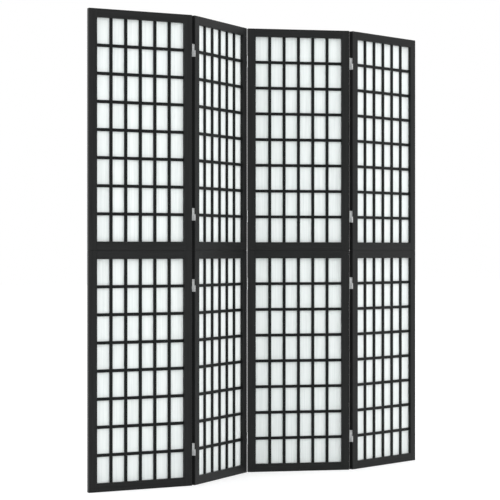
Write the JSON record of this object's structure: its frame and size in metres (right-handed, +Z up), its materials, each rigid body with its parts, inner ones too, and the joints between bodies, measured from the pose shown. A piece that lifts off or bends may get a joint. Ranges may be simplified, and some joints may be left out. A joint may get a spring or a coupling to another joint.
{
  "type": "shoji folding screen",
  "caption": "Free-standing folding screen of hinged wood frames with a square lattice over white paper; the panels fold flat in a zigzag.",
  "frame": {"origin": "on the floor, below the middle of the standing screen's bounding box", "axes": "+Z up; +X along the row of panels, from the left end to the right end as seen from the front; the front looks towards -Y"},
  "size_m": [1.5412, 0.201, 1.7],
  "materials": {
    "frame_wood": "solid softwood, black satin paint",
    "lattice_wood": "thin softwood bars, black satin paint",
    "shoji_paper": "white fibrous shoji paper, matt, lets light through",
    "hinge_steel": "pressed sheet steel, bright zinc plate",
    "pin_steel": "drawn steel wire, bright zinc plate"
  },
  "bodies": {
    "panel_1": {"panel_1_upper_frame": "frame_wood", "panel_1_upper_lattice": "lattice_wood", "panel_1_upper_paper": "shoji_paper", "panel_1_lower_frame": "frame_wood", "panel_1_lower_lattice": "lattice_wood", "panel_1_lower_paper": "shoji_paper", "hinge_1_2_a_left_leaf": "hinge_steel", "hinge_1_2_a_pin": "pin_steel", "hinge_1_2_b_left_leaf": "hinge_steel", "hinge_1_2_b_pin": "pin_steel", "hinge_1_2_c_left_leaf": "hinge_steel", "hinge_1_2_c_pin": "pin_steel", "hinge_1_2_d_left_leaf": "hinge_steel", "hinge_1_2_d_pin": "pin_steel"},
    "panel_2": {"panel_2_upper_frame": "frame_wood", "panel_2_upper_lattice": "lattice_wood", "panel_2_upper_paper": "shoji_paper", "panel_2_lower_frame": "frame_wood", "panel_2_lower_lattice": "lattice_wood", "panel_2_lower_paper": "shoji_paper", "hinge_1_2_a_right_leaf": "hinge_steel", "hinge_1_2_b_right_leaf": "hinge_steel", "hinge_1_2_c_right_leaf": "hinge_steel", "hinge_1_2_d_right_leaf": "hinge_steel", "hinge_2_3_a_left_leaf": "hinge_steel", "hinge_2_3_a_pin": "pin_steel", "hinge_2_3_b_left_leaf": "hinge_steel", "hinge_2_3_b_pin": "pin_steel", "hinge_2_3_c_left_leaf": "hinge_steel", "hinge_2_3_c_pin": "pin_steel", "hinge_2_3_d_left_leaf": "hinge_steel", "hinge_2_3_d_pin": "pin_steel"},
    "panel_3": {"panel_3_upper_frame": "frame_wood", "panel_3_upper_lattice": "lattice_wood", "panel_3_upper_paper": "shoji_paper", "panel_3_lower_frame": "frame_wood", "panel_3_lower_lattice": "lattice_wood", "panel_3_lower_paper": "shoji_paper", "hinge_2_3_a_right_leaf": "hinge_steel", "hinge_2_3_b_right_leaf": "hinge_steel", "hinge_2_3_c_right_leaf": "hinge_steel", "hinge_2_3_d_right_leaf": "hinge_steel", "hinge_3_4_a_left_leaf": "hinge_steel", "hinge_3_4_a_pin": "pin_steel", "hinge_3_4_b_left_leaf": "hinge_steel", "hinge_3_4_b_pin": "pin_steel", "hinge_3_4_c_left_leaf": "hinge_steel", "hinge_3_4_c_pin": "pin_steel", "hinge_3_4_d_left_leaf": "hinge_steel", "hinge_3_4_d_pin": "pin_steel"},
    "panel_4": {"panel_4_upper_frame": "frame_wood", "panel_4_upper_lattice": "lattice_wood", "panel_4_upper_paper": "shoji_paper", "panel_4_lower_frame": "frame_wood", "panel_4_lower_lattice": "lattice_wood", "panel_4_lower_paper": "shoji_paper", "hinge_3_4_a_right_leaf": "hinge_steel", "hinge_3_4_b_right_leaf": "hinge_steel", "hinge_3_4_c_right_leaf": "hinge_steel", "hinge_3_4_d_right_leaf": "hinge_steel"}
  },
  "joints": [
    {"name": "fold_1_2", "type": "hinge", "parent": "panel_2", "child": "panel_1", "pos_m": [-0.3712, -0.07364, 0.85], "axis": [0, 0, -1], "range_deg": [-34.7, 143.3]},
    {"name": "fold_2_3", "type": "hinge", "parent": "panel_2", "child": "panel_3", "pos_m": [0.00198, 0.08224, 0.85], "axis": [0, 0, -1], "range_deg": [-51.7, 126.3]},
    {"name": "fold_3_4", "type": "hinge", "parent": "panel_3", "child": "panel_4", "pos_m": [0.37213, -0.0807, 0.85], "axis": [0, 0, 1], "range_deg": [-36.8, 141.2]}
  ]
}
